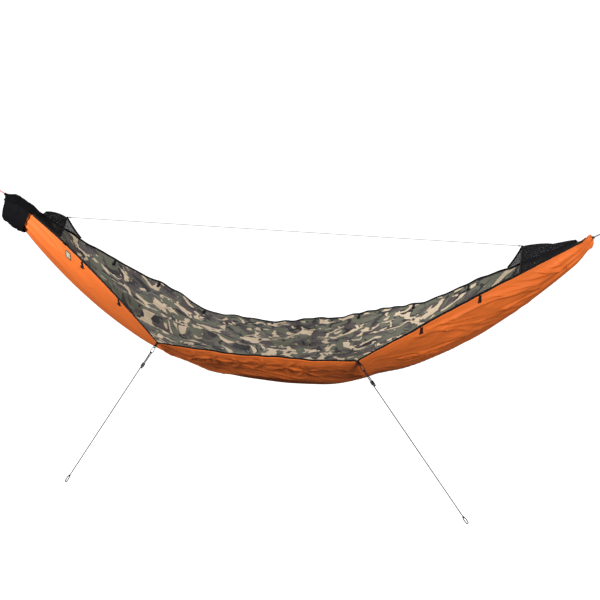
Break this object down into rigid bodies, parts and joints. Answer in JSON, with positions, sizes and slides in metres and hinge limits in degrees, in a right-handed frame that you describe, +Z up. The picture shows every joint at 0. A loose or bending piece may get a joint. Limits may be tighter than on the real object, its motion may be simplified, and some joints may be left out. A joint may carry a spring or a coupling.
{
  "type": "camping hammock",
  "caption": "Gathered-end camping hammock: orange shell, camouflage bed, net hoods, ridge cord, guyed near edge, stuff sack.",
  "frame": {"origin": "inside of the head carabiner's outer end, where the tree strap bears", "axes": "+X along the hammock from its head end to its foot end, +Y to the far side, +Z up"},
  "size_m": [3.0936, 1.3947, 1.0916],
  "materials": {
    "orange_nylon": "ripstop nylon, slight sheen",
    "camo_nylon": "printed ripstop nylon",
    "black_tape": "woven zip tape",
    "black_net": "fine mesh",
    "black_nylon": "light nylon",
    "black_webbing": "flat webbing",
    "red_cord": "braided cord",
    "grey_cord": "braided cord",
    "ridge_line": "thin braided cord",
    "guy_line": "braided shock cord",
    "whipping": "wound thread",
    "clip_alloy": "anodised",
    "black_alloy": "black anodised",
    "pin_steel": "steel",
    "black_plastic": "moulded",
    "label_cloth": "woven patch, blank"
  },
  "bodies": {
    "anchors": {"head_carabiner": "clip_alloy", "foot_carabiner": "clip_alloy"},
    "head_carabiner_gate": {"head_carabiner_gate": "clip_alloy", "head_carabiner_gate_pin": "pin_steel"},
    "foot_carabiner_gate": {"foot_carabiner_gate": "clip_alloy", "foot_carabiner_gate_pin": "pin_steel"},
    "hammock": {"far_toggle_loops": "black_webbing", "far_toggles": "black_plastic", "far_zip_tape": "black_tape", "foot_cord_whipping": "whipping", "foot_gather": "orange_nylon", "foot_gather_hitch": "grey_cord", "foot_hood_binding": "black_tape", "foot_net_hood": "black_net", "foot_suspension_cord": "grey_cord", "foot_tie_out": "black_webbing", "head_cord_whipping": "whipping", "head_gather": "orange_nylon", "head_gather_hitch": "red_cord", "head_hood_binding": "black_tape", "head_net_hood": "black_net", "head_suspension_cord": "red_cord", "head_tie_out": "black_webbing", "inner_bed": "camo_nylon", "label_patch": "label_cloth", "near_toggle_loops": "black_webbing", "near_toggles": "black_plastic", "near_zip_tape": "black_tape", "outer_shell": "orange_nylon", "peak_tabs": "black_webbing", "ridge_cord": "ridge_line", "ridge_knots": "ridge_line"},
    "stuff_sack": {"stuff_sack": "black_nylon", "sack_drawcord": "guy_line", "sack_drawcord_tail": "guy_line", "sack_drawcord_knot": "guy_line", "cord_lock_body": "black_plastic"},
    "cord_lock_button": {"cord_lock_button": "black_plastic"},
    "head_guy": {"head_d_ring": "black_alloy", "head_snap_hook": "black_alloy", "head_guy_line": "guy_line", "head_guy_knots": "guy_line", "head_peg_loop": "guy_line"},
    "head_hook_gate": {"head_snap_hook_gate": "black_alloy", "head_snap_hook_gate_pin": "pin_steel"},
    "head_tensioner": {"head_tensioner": "black_plastic"},
    "head_zip_slider": {"head_zip_slider": "black_plastic", "head_zip_pull": "black_plastic"},
    "foot_guy": {"foot_d_ring": "black_alloy", "foot_snap_hook": "black_alloy", "foot_guy_line": "guy_line", "foot_guy_knots": "guy_line", "foot_peg_loop": "guy_line"},
    "foot_hook_gate": {"foot_snap_hook_gate": "black_alloy", "foot_snap_hook_gate_pin": "pin_steel"},
    "foot_tensioner": {"foot_tensioner": "black_plastic"},
    "foot_zip_slider": {"foot_zip_slider": "black_plastic", "foot_zip_pull": "black_plastic"}
  },
  "joints": [
    {"name": "hammock_swing", "type": "hinge", "parent": "anchors", "child": "hammock", "pos_m": [0.05716, 0, -0.033], "axis": [1, 0, 0], "range_deg": [-20, 20]},
    {"name": "head_carabiner_gate_hinge", "type": "hinge", "parent": "anchors", "child": "head_carabiner_gate", "pos_m": [0.04271, 0, -0.00503], "axis": [0, -1, 0], "range_deg": [0, 28], "stiffness_Nm_per_rad": 0.03, "springref_deg": -22.92},
    {"name": "foot_carabiner_gate_hinge", "type": "hinge", "parent": "anchors", "child": "foot_carabiner_gate", "pos_m": [3.03141, 0, -0.00503], "axis": [0, 1, 0], "range_deg": [0, 28], "stiffness_Nm_per_rad": 0.03, "springref_deg": -22.92},
    {"name": "sack_slide", "type": "slide", "parent": "hammock", "child": "stuff_sack", "axis": [-0.866, 0, 0.5], "range_m": [0, 0.03]},
    {"name": "cord_lock_press", "type": "slide", "parent": "stuff_sack", "child": "cord_lock_button", "axis": [0, 1, 0], "range_m": [0, 0.003], "stiffness_N_per_m": 150, "springref_m": -0.003},
    {"name": "head_guy_swing", "type": "hinge", "parent": "hammock", "child": "head_guy", "pos_m": [1.09651, -0.5909, -0.56517], "axis": [-0.7703, 0.6377, 0], "range_deg": [-38, 60]},
    {"name": "head_hook_gate_hinge", "type": "hinge", "parent": "head_guy", "child": "head_hook_gate", "pos_m": [1.08301, -0.60721, -0.5786], "axis": [-0.7703, 0.6377, 0], "range_deg": [0, 25], "stiffness_Nm_per_rad": 0.004, "springref_deg": -22.92},
    {"name": "head_tensioner_slide", "type": "slide", "parent": "head_guy", "child": "head_tensioner", "axis": [-0.4196, -0.5069, -0.753], "range_m": [-0.035, 0]},
    {"name": "head_slider_slide", "type": "slide", "parent": "hammock", "child": "head_zip_slider", "axis": [0.7847, -0.4937, -0.3749], "range_m": [0, 0.05]},
    {"name": "foot_guy_swing", "type": "hinge", "parent": "hammock", "child": "foot_guy", "pos_m": [1.98168, -0.58853, -0.56334], "axis": [-0.5179, -0.8554, 0], "range_deg": [-38, 60]},
    {"name": "foot_hook_gate_hinge", "type": "hinge", "parent": "foot_guy", "child": "foot_hook_gate", "pos_m": [2.00118, -0.60034, -0.57377], "axis": [-0.5179, -0.8554, 0], "range_deg": [0, 25], "stiffness_Nm_per_rad": 0.004, "springref_deg": -22.92},
    {"name": "foot_tensioner_slide", "type": "slide", "parent": "foot_guy", "child": "foot_tensioner", "axis": [0.6453, -0.3907, -0.6564], "range_m": [-0.035, 0]},
    {"name": "foot_slider_slide", "type": "slide", "parent": "hammock", "child": "foot_zip_slider", "axis": [-0.7781, -0.5013, -0.3785], "range_m": [0, 0.05]}
  ]
}
